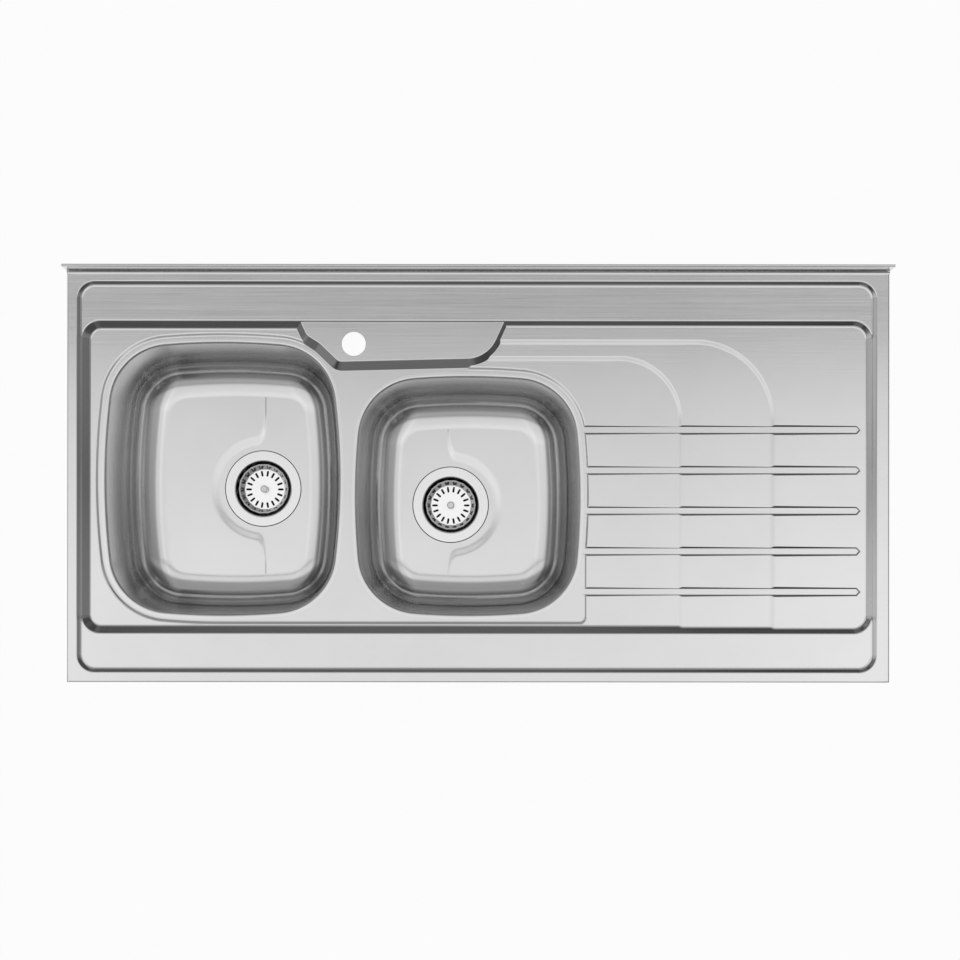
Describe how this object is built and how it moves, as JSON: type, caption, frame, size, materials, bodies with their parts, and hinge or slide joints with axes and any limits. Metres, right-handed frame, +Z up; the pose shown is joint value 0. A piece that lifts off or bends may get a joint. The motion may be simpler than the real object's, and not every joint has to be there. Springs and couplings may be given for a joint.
{
  "type": "top-mount kitchen sink",
  "caption": "Sit-on stainless steel kitchen sink with a larger and a smaller bowl, basket wastes, a tap platform, a rear upstand and a stepped, grooved drainboard.",
  "frame": {"origin": "middle of the folded edge's underside, between the front and rear of the 1200 by 600 mm deck, where the sink sits on its cabinet", "axes": "+X along the sink from the bowls to the drainboard, +Y from the user to the wall, +Z up"},
  "size_m": [1.2, 0.604, 0.3047],
  "materials": {
    "deck_steel": "satin",
    "bowl_steel": "satin",
    "polished_steel": "polished",
    "basket_steel": "bright",
    "screw_steel": "plain",
    "nut_brass": "plain",
    "waste_plastic": "matte",
    "gasket_rubber": "matte",
    "stopper_rubber": "matte",
    "pad_bitumen": "matte",
    "bracket_zinc": "zinc plated"
  },
  "bodies": {
    "sink": {"sink_deck": "deck_steel", "drainboard_pads": "pad_bitumen", "front_left_bracket": "bracket_zinc", "rear_left_bracket": "bracket_zinc", "front_right_bracket": "bracket_zinc", "rear_right_bracket": "bracket_zinc", "large_bowl": "bowl_steel", "large_sound_pad": "pad_bitumen", "large_strainer_cup": "polished_steel", "large_flange_gasket": "gasket_rubber", "large_body_gasket": "gasket_rubber", "large_waste_body": "waste_plastic", "large_waste_nut": "nut_brass", "large_waste_screw": "screw_steel", "small_bowl": "bowl_steel", "small_sound_pad": "pad_bitumen", "small_strainer_cup": "polished_steel", "small_flange_gasket": "gasket_rubber", "small_body_gasket": "gasket_rubber", "small_waste_body": "waste_plastic", "small_waste_nut": "nut_brass", "small_waste_screw": "screw_steel"},
    "large_lift_out_basket": {"large_basket": "basket_steel", "large_basket_knob": "polished_steel", "large_stopper": "stopper_rubber"},
    "small_lift_out_basket": {"small_basket": "basket_steel", "small_basket_knob": "polished_steel", "small_stopper": "stopper_rubber"}
  },
  "joints": [
    {"name": "large_basket_lift", "type": "slide", "parent": "sink", "child": "large_lift_out_basket", "axis": [0, 0, 1], "range_m": [0, 0.24]},
    {"name": "small_basket_lift", "type": "slide", "parent": "sink", "child": "small_lift_out_basket", "axis": [0, 0, 1], "range_m": [0, 0.24]}
  ]
}
